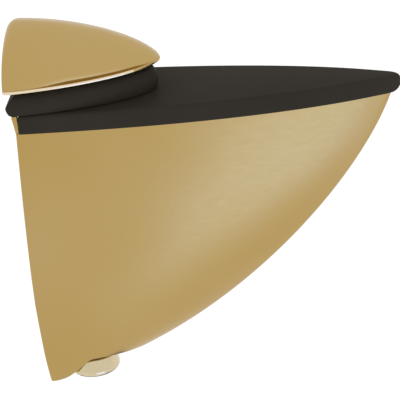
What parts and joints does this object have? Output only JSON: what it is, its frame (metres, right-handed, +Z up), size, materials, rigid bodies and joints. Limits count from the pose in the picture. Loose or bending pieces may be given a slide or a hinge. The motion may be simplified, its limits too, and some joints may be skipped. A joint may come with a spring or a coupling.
{
  "type": "clamping shelf bracket",
  "caption": "Wing-shaped wall bracket that clamps a shelf board between a padded rest and a short padded upper jaw, drawn down by a large-headed screw from below.",
  "frame": {"origin": "on the wall, at the back face of the wall plate, midway between its two screw holes", "axes": "+X out from the wall along the shelf's depth, +Z up, Y across the bracket, which is symmetric about Y = 0"},
  "size_m": [0.12, 0.0394, 0.1232],
  "materials": {
    "satin_gold": "satin gold plating on a zinc die casting, lacquered",
    "black_plastic": "moulded black plastic with a slight sheen",
    "zinc_steel": "zinc-plated steel",
    "polished_gold": "polished plating on steel",
    "nylon": "natural nylon"
  },
  "bodies": {
    "wing": {"wing_casting": "satin_gold", "shelf_rest": "black_plastic", "rest_screw": "zinc_steel", "wall_plate": "zinc_steel", "stem_guide": "nylon", "screw_bush": "nylon"},
    "screw": {"clamp_screw": "polished_gold", "seat_washer": "zinc_steel", "retaining_ring": "zinc_steel"},
    "jaw": {"jaw_casting": "satin_gold", "jaw_pad": "black_plastic", "pad_screw": "zinc_steel", "clamp_stem": "zinc_steel", "stem_screws": "zinc_steel", "clamp_nut": "zinc_steel"}
  },
  "joints": [
    {"name": "screw_turn", "type": "hinge", "parent": "wing", "child": "screw", "pos_m": [0.0142, 0, -0.056], "axis": [0, 0, -1], "range_deg": [0, 9000]},
    {"name": "jaw_slide", "type": "slide", "parent": "wing", "child": "jaw", "axis": [0, 0, 1], "range_m": [0, 0.025]}
  ],
  "couplings": [
    {"joint": "screw_turn", "follows": "jaw_slide", "rad_per_m": 6283}
  ]
}
